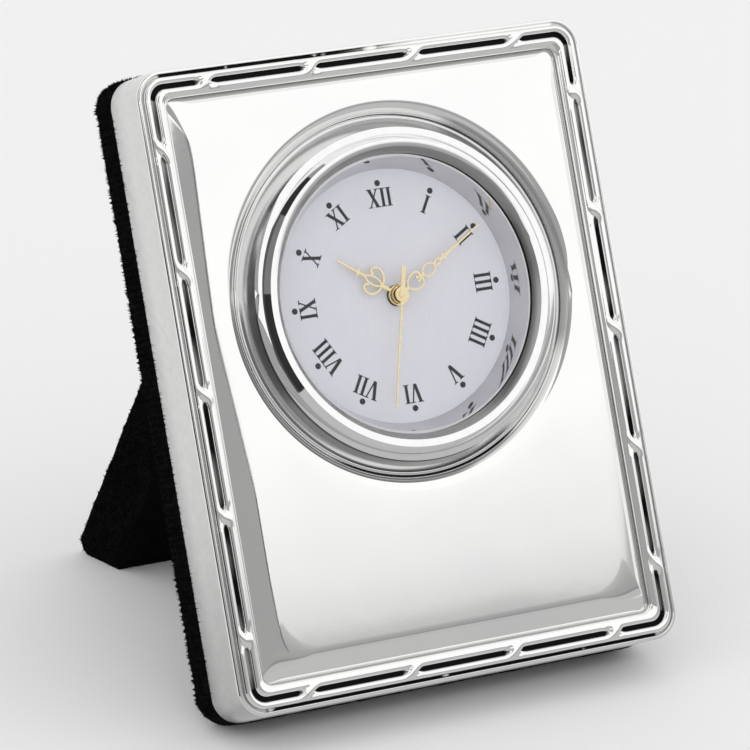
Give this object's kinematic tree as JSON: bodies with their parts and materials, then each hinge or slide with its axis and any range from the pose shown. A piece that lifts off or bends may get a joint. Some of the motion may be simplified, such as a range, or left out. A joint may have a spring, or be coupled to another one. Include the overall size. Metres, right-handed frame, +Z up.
{
  "type": "photo frame clock",
  "caption": "Small leaning frame clock: pressed silver front with a twisted ribbon border, round pull-out clock insert, velvet back and a folding easel strut.",
  "frame": {"origin": "on the table, at the middle of the footprint", "axes": "+Z up, +X to the viewer's right, -Y towards the viewer who faces the dial"},
  "size_m": [0.07, 0.0776, 0.0886],
  "materials": {
    "silver": "polished",
    "bezel_chrome": "polished",
    "lens_glass": "clear",
    "dial_satin": "satin",
    "gasket_white": "matte",
    "velvet": "velvet pile",
    "wood": "bare",
    "hinge_brass": "satin",
    "hand_gold": "polished",
    "cup_plastic": "moulded",
    "grip_rubber": "ribbed",
    "movement_plastic": "moulded",
    "plate_plastic": "moulded",
    "wheel_plastic": "moulded",
    "wheel_brass": "cut",
    "steel": "bare",
    "contact_brass": "sprung strip",
    "copper": "enamelled wire",
    "circuit": "lacquered",
    "chip_black": "potted"
  },
  "bodies": {
    "frame": {"silver_front": "silver", "core_board": "wood", "back_board": "wood", "back_velvet": "velvet", "hinge_board_leaf": "hinge_brass", "hinge_board_rivets": "hinge_brass", "hinge_pin": "hinge_brass"},
    "strut": {"strut_board": "wood", "strut_velvet": "velvet", "hinge_strut_leaf": "hinge_brass", "hinge_strut_rivets": "hinge_brass"},
    "insert": {"bezel": "bezel_chrome", "lens": "lens_glass", "lens_gasket": "gasket_white", "inner_ring": "bezel_chrome", "dial": "dial_satin", "insert_cup": "cup_plastic", "grip_ring": "grip_rubber", "movement_holder": "cup_plastic", "front_plate": "movement_plastic", "main_plate": "plate_plastic", "train_bridge": "plate_plastic", "rear_cover": "movement_plastic", "movement_screws": "steel", "stator": "steel", "coil_core": "steel", "coil_bobbin": "plate_plastic", "coil_winding": "copper", "circuit_board": "circuit", "circuit_chip": "chip_black", "quartz_can": "steel", "button_cell": "steel", "cell_contact": "contact_brass", "cell_clip": "contact_brass"},
    "hatch": {"battery_hatch": "movement_plastic"},
    "setting": {"setting_knob": "movement_plastic"},
    "minute": {"minute_hand": "hand_gold", "cannon_pinion": "wheel_brass"},
    "hour": {"hour_hand": "hand_gold", "hour_wheel": "wheel_plastic"},
    "motion": {"motion_wheel": "wheel_plastic"},
    "seconds": {"second_hand": "hand_gold", "seconds_wheel": "wheel_plastic"},
    "step": {"step_wheel": "wheel_plastic"},
    "rotor": {"rotor_magnet": "steel", "rotor_pinion": "wheel_plastic"},
    "third": {"third_wheel": "wheel_plastic"},
    "centre": {"centre_wheel": "wheel_plastic"}
  },
  "joints": [
    {"name": "strut_hinge", "type": "hinge", "parent": "frame", "child": "strut", "pos_m": [0, 0.00391, 0.06157], "axis": [-1, 0, 0], "range_deg": [0, 48]},
    {"name": "insert_pull", "type": "slide", "parent": "frame", "child": "insert", "axis": [0, -0.9135, 0.4067], "range_m": [0, 0.016]},
    {"name": "hatch_turn", "type": "hinge", "parent": "insert", "child": "hatch", "pos_m": [0.01029, -0.01499, 0.05993], "axis": [0, 0.9135, -0.4067], "range_deg": [0, 45]},
    {"name": "minute_turn", "type": "hinge", "parent": "insert", "child": "minute", "pos_m": [0, -0.01668, 0.05613], "axis": [0, 0.9135, -0.4067], "continuous": true},
    {"name": "motion_turn", "type": "hinge", "parent": "insert", "child": "motion", "pos_m": [0.00451, -0.01735, 0.05463], "axis": [0, 0.9135, -0.4067], "continuous": true},
    {"name": "hour_turn", "type": "hinge", "parent": "insert", "child": "hour", "pos_m": [0, -0.01668, 0.05613], "axis": [0, 0.9135, -0.4067], "continuous": true},
    {"name": "setting_turn", "type": "hinge", "parent": "insert", "child": "setting", "pos_m": [0.00828, -0.01842, 0.05222], "axis": [0, 0.9135, -0.4067], "continuous": true},
    {"name": "seconds_turn", "type": "hinge", "parent": "insert", "child": "seconds", "pos_m": [0, -0.01668, 0.05613], "axis": [0, 0.9135, -0.4067], "continuous": true},
    {"name": "step_turn", "type": "hinge", "parent": "insert", "child": "step", "pos_m": [-0.00579, -0.01754, 0.05421], "axis": [0, 0.9135, -0.4067], "continuous": true},
    {"name": "rotor_turn", "type": "hinge", "parent": "insert", "child": "rotor", "pos_m": [-0.01011, -0.01877, 0.05144], "axis": [0, 0.9135, -0.4067], "continuous": true},
    {"name": "third_turn", "type": "hinge", "parent": "insert", "child": "third", "pos_m": [-0.00106, -0.01423, 0.06164], "axis": [0, 0.9135, -0.4067], "continuous": true},
    {"name": "centre_turn", "type": "hinge", "parent": "insert", "child": "centre", "pos_m": [0, -0.01668, 0.05613], "axis": [0, 0.9135, -0.4067], "continuous": true}
  ],
  "couplings": [
    {"joint": "motion_turn", "follows": "minute_turn", "ratio": -0.33333},
    {"joint": "hour_turn", "follows": "minute_turn", "ratio": 0.083333},
    {"joint": "setting_turn", "follows": "minute_turn", "ratio": 1.2},
    {"joint": "step_turn", "follows": "seconds_turn", "ratio": -6},
    {"joint": "rotor_turn", "follows": "seconds_turn", "ratio": 30},
    {"joint": "third_turn", "follows": "seconds_turn", "ratio": -0.13333},
    {"joint": "centre_turn", "follows": "seconds_turn", "ratio": 0.016667}
  ]
}
